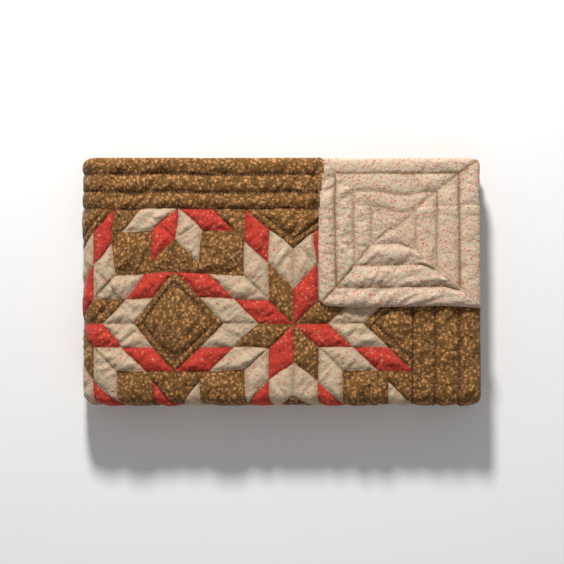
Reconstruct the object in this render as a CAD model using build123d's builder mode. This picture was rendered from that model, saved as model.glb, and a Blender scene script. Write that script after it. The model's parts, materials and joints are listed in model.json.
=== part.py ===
from build123d import *
import os
from math import cos, pi, sin, sqrt

# A patchwork throw quilt folded into eight leaves, with one corner of the top leaf turned down.
# The origin is under the middle of the folded bundle. +X runs along its long side, away from the
# side fold, +Y runs towards the quilt's sewn end edge, and +Z is up. Everything is in millimetres.

# The whole quilt, laid out flat
quilt_width = 1270.0
quilt_length = 1524.0
side_border = 101.6
end_border = 76.2
block_columns = 3
block_rows = 4
border_channels = 3
block_width = (quilt_width - 2 * side_border) / block_columns
block_length = (quilt_length - 2 * end_border) / block_rows

# One leaf of quilted cloth: pieced top, batting and backing
fabric = 0.5
leaf = 9.2
leaf_gap = 0.4
pitch = leaf + leaf_gap
seam_gap = 0.4
thread = 0.3

# The folded bundle
bundle_width = 597.0
bundle_depth = 372.0
leaves_per_half = 4
middle_height = leaves_per_half * pitch - leaf_gap / 2
bundle_height = 2 * middle_height
corner_radius = 14.0
fold_corner_radius = 21.0

# The side fold is pressed flatter than a half circle by this share
side_flattening = 0.6
side_fold_x = -bundle_width / 2 + side_flattening * middle_height
body_clearance = 0.3

# The front fold holds two bends on one centre line, the back fold holds one
front_centre_y = -bundle_depth / 2 + 1.5 * pitch + leaf / 2
back_centre_y = bundle_depth / 2 - 0.5 * pitch - leaf / 2

# The turned corner: its ridge runs from the sewn end edge to the sewn side edge
turned_width = 235.0
turned_depth = 226.0
ridge_reach = 0.6 * pitch
turned_edge_inset = 1.5
turned_corner_radius = 9.0
crease_facets = 16
axis_height = bundle_height + leaf_gap / 2

# Layers of a leaf, as distances from its middle plane, towards the pieced side
pieced_layer = (leaf / 2 - fabric, leaf / 2)
batting_layer = (fabric - leaf / 2, leaf / 2 - fabric)
backing_layer = (-leaf / 2, fabric - leaf / 2)

right_edge = bundle_width / 2
end_edge = bundle_depth / 2
tall = 2 * bundle_height


def leaf_height(number):
    """Height of a leaf's middle plane. Leaf 1 lies on top and leaf 8 at the bottom."""
    return leaf / 2 + (2 * leaves_per_half - number) * pitch


top_face = leaf_height(1) + leaf / 2

# Ridge of the turned corner, set in from the visible crease by the reach of its bend
ridge_length = sqrt(turned_width**2 + turned_depth**2)
ridge_along = Vector(turned_width, -turned_depth) / ridge_length
ridge_outward = Vector(turned_depth, turned_width) / ridge_length
crease_start = Vector(right_edge - turned_width, end_edge)
ridge_start = crease_start - ridge_outward * ridge_reach


def bundle_plan():
    """Outline of the folded bundle from above, with a rounder corner where two folds meet."""
    with BuildSketch() as plan:
        Rectangle(bundle_width, bundle_depth)
        corners = {
            (-right_edge, -end_edge): fold_corner_radius,
            (-right_edge, end_edge): corner_radius,
            (right_edge, -end_edge): corner_radius,
            (right_edge, end_edge): corner_radius,
        }
        for place, radius in corners.items():
            fillet(plan.vertices().sort_by_distance(place)[0], radius)
    return plan.sketch


plan_outline = bundle_plan()


def half_ring(centre_y, centre_z, inner, outer, towards):
    """Section of a bend in a sketch's own plane: half a ring that bulges to one side."""
    with BuildSketch() as ring:
        with Locations((centre_y, centre_z)):
            Circle(outer)
            Circle(inner, mode=Mode.SUBTRACT)
        with Locations((centre_y - towards * outer, centre_z)):
            Rectangle(2 * outer, 3 * outer, mode=Mode.SUBTRACT)
    return ring.sketch


def upper_layer(layer, leaves):
    """One layer of the upper half: a strip that zigzags through its leaves and bends."""
    low, high = layer
    ends = {1: (front_centre_y, end_edge), 2: (front_centre_y, end_edge)}
    ends[3] = (front_centre_y, back_centre_y)
    ends[4] = (front_centre_y, back_centre_y)
    middle = (low + high) / 2
    outer_bend = half_ring(front_centre_y, leaf_height(2.5), 1.5 * pitch + low, 1.5 * pitch + high, -1)
    inner_bend = half_ring(front_centre_y, leaf_height(2.5), 0.5 * pitch - high, 0.5 * pitch - low, -1)
    back_bend = half_ring(back_centre_y, leaf_height(3.5), 0.5 * pitch + low, 0.5 * pitch + high, 1)
    with BuildPart() as strip:
        with BuildSketch(Plane.YZ.offset(side_fold_x)):
            for number in leaves:
                start, end = ends[number]
                facing = 1 if number % 2 else -1
                with Locations(((start + end) / 2, leaf_height(number) + facing * middle)):
                    Rectangle(end - start, high - low)
            add([outer_bend, inner_bend, back_bend])
        extrude(amount=right_edge - side_fold_x)
        extrude(plan_outline, amount=tall, mode=Mode.INTERSECT)
    return strip.part


def lower_layer(layer):
    """The same layer of the lower half, as the mirror image of the upper one."""
    with BuildPart() as strip:
        add(upper_layer(layer, (1, 2, 3, 4)))
        mirror(about=Plane.XY.offset(middle_height), mode=Mode.REPLACE)
    return strip.part


def past_ridge(gap, height):
    """A block that covers everything beyond the ridge line, above the given height."""
    reach = 2 * ridge_length
    plane = Plane(origin=tuple(ridge_start - ridge_outward * gap), x_dir=ridge_along, z_dir=(0, 0, 1))
    with BuildPart() as beyond:
        with BuildSketch(plane.offset(height)):
            with Locations((ridge_length / 2, reach / 2)):
                Rectangle(reach, reach)
        extrude(amount=tall)
    return beyond.part


leaf_1_corner = past_ridge(leaf_gap / 2, leaf_height(1) - leaf / 2 - leaf_gap / 2)


def save(part, label):
    """Label a finished piece and write it to its own file."""
    part.label = label
    export_step(part, f"parts/{label}.step")


def half_layers():
    """Batting, backing and the plain pieced top of both halves."""
    layers = {"batting": batting_layer, "backing": backing_layer}
    for name, layer in layers.items():
        with BuildPart() as upper:
            add(upper_layer(layer, (1, 2, 3, 4)))
            add(leaf_1_corner, mode=Mode.SUBTRACT)
        save(upper.part, f"upper_{name}")
        save(lower_layer(layer), f"lower_{name}")
    save(upper_layer(pieced_layer, (2, 3, 4)), "upper_inner_pieced_top")
    save(lower_layer(pieced_layer), "lower_pieced_top")


# Patches of the top leaf. A star block is drawn from two unit diamonds' sides, stretched a little
# because the block is wider than it is long.
star_reach = 2 + sqrt(2)
side_x = block_width / 2 / star_reach
side_y = block_length / 2 / star_reach
seam_y = end_edge - end_border
seam_x = right_edge - side_border
right_star = (seam_x - block_width / 2, seam_y - block_length / 2)
left_star = (right_star[0] - block_width, right_star[1])
star_field = ((side_fold_x + body_clearance, seam_x), (front_centre_y, seam_y))
half_root = sqrt(0.5)
compass = [(1, 0), (half_root, half_root), (0, 1), (-half_root, half_root)]
compass += [(-x, -y) for x, y in compass]


def side_vector(number):
    """Side of a small diamond that points along one of eight directions, counted from +X."""
    x, y = compass[number % 8]
    return (x * side_x, y * side_y)


def diamond(centre, number, along=0, across=0):
    """Corners of one small diamond between two neighbouring directions of a star."""
    first = side_vector(number)
    second = side_vector(number + 1)
    x = centre[0] + along * first[0] + across * second[0]
    y = centre[1] + along * first[1] + across * second[1]
    tip = (x + first[0] + second[0], y + first[1] + second[1])
    return [(x, y), (x + first[0], y + first[1]), tip, (x + second[0], y + second[1])]


def square(centre, half_x, half_y, turned=False):
    """Corners of a square patch, upright or standing on its point."""
    x, y = centre
    if turned:
        return [(x + half_x, y), (x, y + half_y), (x - half_x, y), (x, y - half_y)]
    return [
        (x + half_x, y + half_y),
        (x - half_x, y + half_y),
        (x - half_x, y - half_y),
        (x + half_x, y - half_y),
    ]


def small_star(centre):
    """Outline of a whole eight-pointed star of small diamonds."""
    outline = []
    for number in range(8):
        corners = diamond(centre, number)
        outline += [corners[1], corners[2]]
    return outline


def patch(outline, holes):
    """One flat patch at its height on the top leaf, drawn in by half a seam groove."""
    with BuildSketch(Plane.XY.offset(top_face - fabric)) as flat:
        with BuildLine():
            Polyline(*outline, close=True)
        make_face()
        for hole in holes:
            with BuildLine():
                Polyline(*hole, close=True)
            make_face(mode=Mode.SUBTRACT)
        offset(amount=-seam_gap / 2, kind=Kind.INTERSECTION)
    return flat.sketch


def patches(outlines, holes=(), reach=None):
    """Flat patches, trimmed to the stretch of the top leaf that they lie in."""
    (left, right), (front, back) = reach or star_field
    with BuildPart() as sewn:
        for outline in outlines:
            extrude(patch(outline, holes), amount=fabric)
        with BuildSketch():
            with Locations(((left + right) / 2, (front + back) / 2)):
                Rectangle(right - left - seam_gap, back - front - seam_gap)
        extrude(amount=tall, mode=Mode.INTERSECT)
        extrude(plan_outline, amount=tall, mode=Mode.INTERSECT)
        add(leaf_1_corner, mode=Mode.SUBTRACT)
    return sewn.part


stars = [left_star, right_star]
block_corners = []
for column in range(2):
    for row in range(2):
        x = right_star[0] + block_width * (column - 0.5)
        y = right_star[1] + block_length * (0.5 - row)
        block_corners.append(((x, y), (column + row) % 2))
block_corners.append(((left_star[0] - block_width / 2, seam_y), 1))


def star_patches():
    """Small diamonds of the large stars: points, cream diamonds and outer red diamonds."""
    save(patches([diamond(c, n) for c in stars for n in (1, 3, 5, 7)]), "star_points_red")
    save(patches([diamond(c, n) for c in stars for n in (0, 2, 4, 6)]), "star_points_brown")
    outer = [diamond(c, n, 1, 1) for c in stars for n in range(8)]
    save(patches(outer), "outer_diamonds_red")
    for name, along in (("left", 1), ("right", 0)):
        cream = [diamond(c, n, along, 1 - along) for c in stars for n in range(8)]
        save(patches(cream), f"cream_diamonds_{name}")


def setting_patches():
    """Brown squares on point between the stars, and brown corner squares with a small star."""
    half_x = 2 * half_root * side_x
    half_y = 2 * half_root * side_y
    places = [
        (right_star[0] - block_width / 2, right_star[1]),
        (right_star[0] + block_width / 2, right_star[1]),
        (right_star[0], seam_y),
        (right_star[0], right_star[1] - block_length / 2),
    ]
    save(patches([square(p, half_x, half_y, True) for p in places]), "setting_squares")
    corners = [square(c, 2 * side_x, 2 * side_y) for c, _ in block_corners]
    save(patches(corners, holes=[small_star(c) for c, _ in block_corners]), "corner_squares")
    for name, odd in (("red", 1), ("cream", 0)):
        chosen = [diamond(c, n) for c, phase in block_corners for n in range(8) if (n + phase) % 2 == odd]
        save(patches(chosen), f"small_star_{name}")


def border_patches():
    """The end border runs the full width, and the side border meets it from below."""
    end_strip = square((0, (seam_y + end_edge) / 2), bundle_width, end_border / 2)
    end_reach = ((side_fold_x + body_clearance, right_edge + 1), (seam_y, end_edge + 1))
    save(patches([end_strip], reach=end_reach), "end_border")
    side_strip = square(((seam_x + right_edge) / 2, 0), side_border / 2, bundle_depth)
    side_reach = ((seam_x, right_edge + 1), (front_centre_y, seam_y))
    save(patches([side_strip], reach=side_reach), "side_border")


def border_thread():
    """Two lines of machine quilting along each border of the top leaf, which make three channels."""
    with BuildPart() as lines:
        for line in range(1, border_channels):
            y = seam_y + line * end_border / border_channels
            length = right_edge - side_fold_x - 2
            with BuildSketch(Plane.XY.offset(top_face)):
                with Locations(((right_edge + side_fold_x) / 2, y)):
                    Rectangle(length, 2 * thread)
            x = seam_x + line * side_border / border_channels
            with BuildSketch(Plane.XY.offset(top_face)):
                with Locations((x, (seam_y + front_centre_y) / 2)):
                    Rectangle(2 * thread, seam_y - front_centre_y - 2)
        extrude(amount=thread)
        extrude(plan_outline, amount=tall, mode=Mode.INTERSECT)
        add(past_ridge(leaf_gap / 2, 0), mode=Mode.SUBTRACT)
        add(turned_block(turned_edge_inset), mode=Mode.SUBTRACT)
    save(lines.part, "border_quilting_thread")


def turned_outline():
    """Outline of the turned corner as it lies, from its ridge to its own rounded corner."""
    start = crease_start - ridge_outward * (ridge_reach + leaf_gap / 2)
    end = start + ridge_along * ridge_length
    left = crease_start.X - turned_edge_inset
    front = end_edge - turned_depth - turned_edge_inset
    slope = ridge_along.Y / ridge_along.X
    upper = (left, start.Y + (left - start.X) * slope)
    lower = (end.X + (front - end.Y) / slope, front)
    with BuildSketch() as outline:
        with BuildLine():
            Polyline(upper, (left, front), lower, close=True)
        make_face()
        square_corner = outline.vertices().sort_by_distance((left, front))[0]
        fillet(square_corner, turned_corner_radius)
    return outline.sketch


def turned_block(margin):
    """The space over the top leaf that the turned corner fills, a little larger all round."""
    with BuildPart() as block:
        with BuildSketch() as grown:
            add(turned_outline())
            offset(amount=margin, kind=Kind.INTERSECTION)
        extrude(amount=tall)
    return block.part


def turned_layers():
    """The turned corner, lying face down on the top leaf."""
    start = bundle_height + leaf_gap
    base = {"pieced_top": (0, fabric), "batting": (fabric, leaf - fabric), "backing": (leaf - fabric, leaf)}
    for name, (low, high) in base.items():
        with BuildPart() as layer:
            extrude(turned_outline().moved(Location((0, 0, start + low))), amount=high - low)
            extrude(plan_outline, amount=tall, mode=Mode.INTERSECT)
        save(layer.part, f"turned_corner_{name}")


def side_fold_ring(inner, outer):
    """One cloth layer round the side fold: half a flattened ring that runs the bundle's depth."""
    with BuildPart() as ring:
        with BuildSketch(Plane.XZ):
            with Locations((side_fold_x - body_clearance, middle_height)):
                Ellipse(side_flattening * outer, outer)
                Ellipse(side_flattening * inner, inner, mode=Mode.SUBTRACT)
            with Locations((side_fold_x - body_clearance + outer, middle_height)):
                Rectangle(2 * outer, 3 * outer, mode=Mode.SUBTRACT)
        extrude(amount=bundle_depth, both=True)
        extrude(plan_outline, amount=tall, mode=Mode.INTERSECT)
    return ring.part


def side_fold_layers():
    """The cloth that wraps round the side fold, leaf inside leaf."""
    layers = {"pieced_top": pieced_layer, "batting": batting_layer, "backing": backing_layer}
    for name, (low, high) in layers.items():
        rings = []
        for number in range(1, leaves_per_half + 1):
            radius = (leaves_per_half + 0.5 - number) * pitch
            if number % 2:
                rings.append(side_fold_ring(radius + low, radius + high))
            else:
                rings.append(side_fold_ring(radius - high, radius - low))
        with BuildPart() as group:
            add(rings)
        save(group.part, f"side_fold_{name}")


def faceted_ellipse(half_width, half_height, mode=Mode.ADD):
    """An ellipse of short flat facets, for cloth that creases where the bend is too tight to be smooth."""
    step = 2 * pi / crease_facets
    corners = [(half_width * cos(k * step), half_height * sin(k * step)) for k in range(crease_facets)]
    Polygon(*corners, mode=mode)


def corner_fold_layers():
    """The cloth that bends round the ridge of the turned corner, pieced side inwards."""
    plane = Plane(
        origin=(ridge_start.X, ridge_start.Y, axis_height), x_dir=ridge_outward, z_dir=-ridge_along
    )
    middle = pitch / 2
    layers = {"pieced_top": pieced_layer, "batting": batting_layer, "backing": backing_layer}
    flat = ridge_reach / (middle + leaf / 2)
    for name, (low, high) in layers.items():
        outline = faceted_ellipse if name == "pieced_top" else Ellipse
        with BuildPart() as ring:
            with BuildSketch(plane):
                outline(flat * (middle - low), middle - low)
                outline(flat * (middle - high), middle - high, mode=Mode.SUBTRACT)
                with Locations((-pitch, 0)):
                    Rectangle(2 * pitch + body_clearance / 2, 3 * pitch, mode=Mode.SUBTRACT)
            extrude(amount=2 * ridge_length, both=True)
            extrude(plan_outline, amount=tall, mode=Mode.INTERSECT)
        save(ring.part, f"corner_fold_{name}")


os.makedirs("parts", exist_ok=True)
half_layers()
star_patches()
setting_patches()
border_patches()
border_thread()
turned_layers()
side_fold_layers()
corner_fold_layers()
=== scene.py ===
import json
import math
import random

import bmesh
import bpy
from mathutils import Matrix, Vector, bvhtree, interpolate, kdtree, noise


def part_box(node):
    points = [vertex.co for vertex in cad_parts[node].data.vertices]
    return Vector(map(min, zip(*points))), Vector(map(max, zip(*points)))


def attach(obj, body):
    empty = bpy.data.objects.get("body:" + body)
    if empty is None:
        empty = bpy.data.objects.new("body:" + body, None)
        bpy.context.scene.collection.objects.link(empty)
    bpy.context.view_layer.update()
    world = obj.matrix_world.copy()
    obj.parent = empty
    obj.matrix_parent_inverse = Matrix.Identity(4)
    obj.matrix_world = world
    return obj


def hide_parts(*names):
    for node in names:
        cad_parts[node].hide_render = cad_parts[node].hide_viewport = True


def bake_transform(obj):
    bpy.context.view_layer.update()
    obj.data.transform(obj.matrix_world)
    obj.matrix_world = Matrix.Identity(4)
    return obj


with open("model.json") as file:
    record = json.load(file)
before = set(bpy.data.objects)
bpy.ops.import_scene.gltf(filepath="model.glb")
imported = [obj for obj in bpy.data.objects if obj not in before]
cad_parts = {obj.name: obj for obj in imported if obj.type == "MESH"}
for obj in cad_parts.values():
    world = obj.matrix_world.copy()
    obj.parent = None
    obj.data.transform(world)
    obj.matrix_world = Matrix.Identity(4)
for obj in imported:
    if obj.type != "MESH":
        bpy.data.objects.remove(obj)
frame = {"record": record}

bl_info = {
    "name": "Folded Patchwork Quilt",
    "version": (1, 0, 0),
    "blender": (4, 5, 0),
    "location": "3D View > Sidebar > Quilt",
    "description": "A blazing star patchwork quilt folded into eight leaves, with one corner turned down",
    "category": "Add Mesh",
}

MM = 0.001

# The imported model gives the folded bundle's box, and every height and edge below follows from it.
BUNDLE_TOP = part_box("side_border")[1].z
RIGHT_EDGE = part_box("side_border")[1].x
END_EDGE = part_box("end_border")[1].y
LEFT_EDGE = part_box("side_fold_pieced_top")[0].x
SIDE_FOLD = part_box("upper_batting")[0].x
CORNER_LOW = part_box("turned_corner_backing")[0]
MIDDLE = BUNDLE_TOP / 2


def linear(code):
    """A colour given as sRGB hex, as the linear red, green and blue that a shader takes."""
    parts = [int(code[i:i + 2], 16) / 255 for i in (1, 3, 5)]
    return tuple(c / 12.92 if c <= 0.04045 else ((c + 0.055) / 1.055) ** 2.4 for c in parts)


# ---------------------------------------------------------------------------------------------
# Settings that a user would change


def length(name, about, millimetres):
    """A size, given in millimetres."""
    return bpy.props.FloatProperty(name=name, description=about, default=millimetres * MM, unit="LENGTH")


def colour(name, about, code):
    """A cloth's or thread's colour, given as sRGB hex."""
    return bpy.props.FloatVectorProperty(
        name=name, description=about, default=linear(code), size=3, min=0, max=1, subtype="COLOR"
    )


class QuiltSizes(bpy.types.PropertyGroup):
    width: length("Width", "Width of the whole quilt laid out flat", 1270)
    length: length("Length", "Length of the whole quilt laid out flat", 1524)
    side_border: length("Side border", "Width of the borders down the two long sides", 101.6)
    end_border: length("End border", "Width of the borders across the two ends", 76.2)
    pitch: length("Leaf pitch", "Height from one folded leaf to the next", 9.6)
    leaf: length("Leaf thickness", "Thickness of one leaf of quilted cloth", 9.2)
    seam_half: length("Seam half thickness", "Half the thickness of the quilt along its stitching", 1.5)
    puff: length("Puff", "How far the batting lifts the cloth between two lines of stitching", 4.6)
    pucker: length("Pucker", "Depth of the small tucks that the stitching draws up", 2.9)
    edge_roll: length("Edge roll", "How far in from a sewn edge the quilt reaches its full thickness", 11)
    fine_cell: length("Fine cell", "Mesh size of the leaves that show", 2.7)
    coarse_cell: length("Coarse cell", "Mesh size of the leaves inside the bundle", 4.6)
    stitch: length("Stitch", "Length of one running stitch with the gap after it", 5.5)
    thread: length("Thread", "Half the thickness of the quilting thread as it shows", 0.45)
    wander: length("Seam wander", "How far a hand sewn seam strays from its line", 2.2)


class QuiltColours(bpy.types.PropertyGroup):
    brown: colour("Brown ground", "Ground of the brown calico", "#745023")
    brown_sprig: colour("Brown sprig", "Blossoms printed on the brown calico", "#C98F5A")
    brown_dark: colour("Brown shade", "Leaves printed on the brown calico", "#4A3115")
    red: colour("Red ground", "Ground of the red calico", "#BD3829")
    red_sprig: colour("Red sprig", "Specks printed on the red calico", "#D88464")
    red_dark: colour("Red shade", "Dark specks printed on the red calico", "#93281E")
    cream: colour("Cream ground", "Ground of the cream calico", "#C2AC8F")
    backing: colour("Backing ground", "Ground of the backing muslin", "#CBB79E")
    cream_sprig: colour("Cream sprig", "Buds printed on the cream calico", "#C65A52")
    cream_leaf: colour("Cream leaf", "Faint leaves printed on the cream calico", "#B7A683")
    thread: colour("Thread", "Quilting thread", "#AD9468")
    floor: colour("Floor", "The floor under the quilt", "#F4F3F1")


# ---------------------------------------------------------------------------------------------
# The patchwork, in flat coordinates: u runs along +X and v along +Y on the top leaf, in metres

HALF = math.sqrt(0.5)
BLOCK_COLUMNS = 3
BLOCK_ROWS = 4
BLOCK_SPAN = 4 + 4 * HALF
ECHO_INSET = 0.3
CHANNEL_LINES = (0.32, 0.67)
# The quilt's own corners are rounded to this radius
CORNER_RADIUS = 13 * MM
BROWN, RED, CREAM, BACKING = range(4)


def sizes():
    """The sizes set in the panel."""
    return bpy.context.scene.quilt_sizes


def colours():
    """The colours set in the panel."""
    return bpy.context.scene.quilt_colours


class Patchwork:
    """Where the seams of the quilt top run, and which cloth each patch is cut from."""

    def __init__(self):
        own = sizes()
        self.right, self.top = RIGHT_EDGE, END_EDGE
        self.left, self.bottom = self.right - own.width, self.top - own.length
        self.side_border, self.end_border = own.side_border, own.end_border
        self.block_width = (own.width - 2 * own.side_border) / BLOCK_COLUMNS
        self.block_length = (own.length - 2 * own.end_border) / BLOCK_ROWS
        self.side_u = self.block_width / BLOCK_SPAN
        self.side_v = self.block_length / BLOCK_SPAN
        self.seam_left, self.seam_right = self.left + own.side_border, self.right - own.side_border
        self.seam_bottom, self.seam_top = self.bottom + own.end_border, self.top - own.end_border
        self.middle_u = self.right - own.width / 2

    def edge_distance(self, u, v):
        """Distance in from the quilt's sewn edge, whose corners are rounded."""
        a = min(self.right - u, u - self.left)
        b = min(self.top - v, v - self.bottom)
        if a < CORNER_RADIUS and b < CORNER_RADIUS:
            return CORNER_RADIUS - math.hypot(CORNER_RADIUS - a, CORNER_RADIUS - b)
        return min(a, b)

    def border_share(self, u, v):
        """How deep in the border a point lies, 0 at the sewn edge and 1 at the seam, and on which side."""
        across = min(self.right - u, u - self.left) / self.side_border
        along = min(self.top - v, v - self.bottom) / self.end_border
        return min(across, along), across < along

    def patch(self, u, v):
        """The patch that holds a point, as a key of its own and the cloth it is cut from."""
        share, on_side = self.border_share(u, v)
        if share < 1:
            channel = sum(share > line for line in CHANNEL_LINES)
            side = (u > self.middle_u) if on_side else (v > (self.top + self.bottom) / 2)
            return ("border", on_side, side, channel), BROWN
        column = min(int((u - self.seam_left) / self.block_width), BLOCK_COLUMNS - 1)
        row = min(int((self.seam_top - v) / self.block_length), BLOCK_ROWS - 1)
        p = (u - self.seam_left - (column + 0.5) * self.block_width) / self.side_u
        q = (v - self.seam_top + (row + 0.5) * self.block_length) / self.side_v
        if abs(p) > 2 * HALF and abs(q) > 2 * HALF:
            return self.corner_patch(column + (p > 0), row + (q < 0), p, q)
        turn, along, across = star_sector(p, q)
        if along <= 2 and across <= 2:
            place = (int(along), int(across))
            key = ("star", column, row, turn, place)
            if place == (0, 0):
                return key, (BROWN, RED)[turn % 2]
            return key, RED if place == (1, 1) else CREAM
        return self.setting_patch(column, row, p, q)

    def corner_patch(self, column, row, p, q):
        """A patch of the square where four blocks meet, which holds a small star."""
        a = p - math.copysign(BLOCK_SPAN / 2, p)
        b = q - math.copysign(BLOCK_SPAN / 2, q)
        turn, along, across = star_sector(a, b)
        if along <= 1 and across <= 1:
            return ("small_star", column, row, turn), (CREAM, RED)[(turn + column + row) % 2]
        return ("corner", column, row, turn // 2), BROWN

    def setting_patch(self, column, row, p, q):
        """The square on point between two stars, with a line of stitching inside its seams."""
        if abs(p) > abs(q):
            centre = (2 * column + (1 if p > 0 else -1), 2 * row)
            reach = abs(abs(p) - BLOCK_SPAN / 2) + abs(q)
        else:
            centre = (2 * column, 2 * row + (1 if q < 0 else -1))
            reach = abs(abs(q) - BLOCK_SPAN / 2) + abs(p)
        return ("setting", centre, reach < 2 * HALF - ECHO_INSET), BROWN

    def echo_gap(self, u, v):
        """Distance from the line of stitching inside the nearest square on point."""
        p = abs((u - self.seam_left) / self.side_u % BLOCK_SPAN - BLOCK_SPAN / 2)
        q = abs((v - self.seam_top) / self.side_v % BLOCK_SPAN - BLOCK_SPAN / 2)
        reach = min(BLOCK_SPAN / 2 - p + q, BLOCK_SPAN / 2 - q + p)
        return abs(reach - 2 * HALF + ECHO_INSET) * self.side_u / math.sqrt(2)

    def seam_lines(self, low_u, high_u, low_v, high_v):
        """The lines that the seams and quilting lie on, as (point, direction across, inside the blocks)."""
        lines = []
        for share in (*CHANNEL_LINES, 1):
            side, end = share * self.side_border, share * self.end_border
            lines += [((u, 0), (1, 0), False) for u in (self.right - side, self.left + side)]
            lines += [((0, v), (0, 1), False) for v in (self.top - end, self.bottom + end)]
        for corner_u, step_u in ((self.right, -1), (self.left, 1)):
            for corner_v, step_v in ((self.top, -1), (self.bottom, 1)):
                across = (step_v * self.end_border, -step_u * self.side_border)
                lines.append(((corner_u, corner_v), across, False))
        straight = (0, HALF, -HALF, 2 * HALF, -2 * HALF, 2 + HALF, -2 - HALF, BLOCK_SPAN / 2)
        slanting = (0, 1, -1, 2, -2, 2 + ECHO_INSET, -2 - ECHO_INSET)
        for column in range(BLOCK_COLUMNS):
            centre_u = self.seam_left + (column + 0.5) * self.block_width
            lines += [((centre_u + a * self.side_u, 0), (1, 0), True) for a in straight]
        for row in range(BLOCK_ROWS):
            centre_v = self.seam_top - (row + 0.5) * self.block_length
            lines += [((0, centre_v + b * self.side_v), (0, 1), True) for b in straight]
        centre = (self.seam_left + 0.5 * self.block_width, self.seam_top - 0.5 * self.block_length)
        for lean in (1, -1):
            for step in range(-BLOCK_ROWS - 1, BLOCK_COLUMNS + BLOCK_ROWS + 1):
                for offset in slanting:
                    point = (centre[0] + (offset + step * BLOCK_SPAN) * self.side_u, centre[1])
                    lines.append((point, (1 / self.side_u, lean / self.side_v), True))
        corners = [(u, v) for u in (low_u, high_u) for v in (low_v, high_v)]

        def crosses(point, across):
            sides = [(u - point[0]) * across[0] + (v - point[1]) * across[1] for u, v in corners]
            return min(sides) < 0 < max(sides)

        return [line for line in lines if crosses(line[0], line[1])]


def star_sector(p, q):
    """Which of a star's eight points holds (p, q), and how far along that point's two sides it lies."""
    turn = int(math.atan2(q, p) / (math.pi / 4) % 8)
    angle = turn * math.pi / 4
    along_u, along_v = math.cos(angle), math.sin(angle)
    across_u, across_v = math.cos(angle + math.pi / 4), math.sin(angle + math.pi / 4)
    determinant = along_u * across_v - along_v * across_u
    along = (p * across_v - q * across_u) / determinant
    across = (along_u * q - along_v * p) / determinant
    return turn, along, across


def smooth(value):
    """Ease from 0 to 1 as the value goes from 0 to 1, and hold beyond."""
    value = min(max(value, 0.0), 1.0)
    return value * value * (3 - 2 * value)


def soft_noise(u, v, per_metre, layer):
    """A random value from about -1 to 1 that changes slowly over the quilt."""
    return noise.noise(Vector((u * per_metre, v * per_metre, layer)))


# Where uneven piecing pulls the seams out of true: (u, v), (pull along u, pull along v), reach, in mm
TUGS = (
    ((14, 42), (0, 12), 42),
    ((-158, 6), (0, 7), 70),
    ((19, -114), (0, -8), 24),
    ((19, -162), (0, -6), 24),
    ((-157, -190), (3, -5), 34),
    ((-245, 62), (-9, 0), 52),
    ((-241, -98), (-8, 0), 24),
    ((-135, 96), (9, 0), 34),
    ((-215, 104), (-7, 0), 20),
    ((175, -1268), (0, 11), 28),
    ((56, 64), (-8, 0), 26),
)


# Blender's vector noise is otherwise seeded by the clock. With this seed the seams stray alike in every run.
STRAY_SEED = 1795018521


def wander(u, v):
    """How far the hand sewn seams stray from their lines at a point, in metres."""
    reach = sizes().wander
    drift = noise.noise_vector(Vector((u * 14, v * 14, 0.3)))
    stray_u, stray_v = drift.x * reach, drift.y * reach
    for (at_u, at_v), (pull_u, pull_v), spread in TUGS:
        away = math.hypot(u - at_u * MM, v - at_v * MM) / (spread * MM)
        fade = math.exp(-away * away) * MM
        stray_u += pull_u * fade
        stray_v += pull_v * fade
    return stray_u, stray_v


# ---------------------------------------------------------------------------------------------
# Flat panels of cloth


def flat_panel(low_u, high_u, low_v, high_v, cell):
    """A flat grid of cloth, ready to be cut along its seams."""
    panel = bmesh.new()
    columns = max(2, round((high_u - low_u) / cell))
    rows = max(2, round((high_v - low_v) / cell))
    bmesh.ops.create_grid(panel, x_segments=columns, y_segments=rows, size=0.5)
    bmesh.ops.scale(panel, vec=(high_u - low_u, high_v - low_v, 1), verts=panel.verts)
    bmesh.ops.translate(panel, vec=((low_u + high_u) / 2, (low_v + high_v) / 2, 0), verts=panel.verts)
    return panel


def cut(panel, faces, point, across, snap, clear=False):
    """Cut faces along a line, and give back the faces of the same area."""
    edges = dict.fromkeys(e for f in faces for e in f.edges)
    verts = dict.fromkeys(v for f in faces for v in f.verts)
    result = bmesh.ops.bisect_plane(
        panel, geom=[*verts, *edges, *faces], dist=snap, plane_co=(*point, 0),
        plane_no=Vector((*across, 0)).normalized(), use_snap_center=True, clear_outer=clear,
    )
    return [g for g in result["geom"] if isinstance(g, bmesh.types.BMFace)]


def cut_along_seams(panel, patchwork, cell):
    """Cut a panel along every seam and line of quilting, and mark each face with its patch."""
    low_u, high_u = min(v.co.x for v in panel.verts), max(v.co.x for v in panel.verts)
    low_v, high_v = min(v.co.y for v in panel.verts), max(v.co.y for v in panel.verts)
    lines = patchwork.seam_lines(low_u, high_u, low_v, high_v)
    snap = cell * 0.3
    faces = panel.faces[:]
    for point, across, inside in lines:
        if not inside:
            faces = cut(panel, faces, point, across, snap)
    inner = []
    for f in panel.faces:
        middle = f.calc_center_median()
        if patchwork.border_share(middle.x, middle.y)[0] > 1:
            inner.append(f)
    for point, across, inside in lines:
        if inside and inner:
            inner = cut(panel, inner, point, across, snap)


def mark_patches(panel, patchwork, mirrored=False):
    """Number each face's patch and cloth. Returns the patch keys in their order."""
    patch_layer = panel.faces.layers.int.new("patch")
    cloth_layer = panel.faces.layers.int.new("cloth")
    numbers = {}
    for f in panel.faces:
        middle = f.calc_center_median()
        u = 2 * patchwork.middle_u - middle.x if mirrored else middle.x
        key, cloth = patchwork.patch(u, middle.y)
        f[patch_layer] = numbers.setdefault(key, len(numbers))
        f[cloth_layer] = cloth
    return list(numbers)


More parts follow.
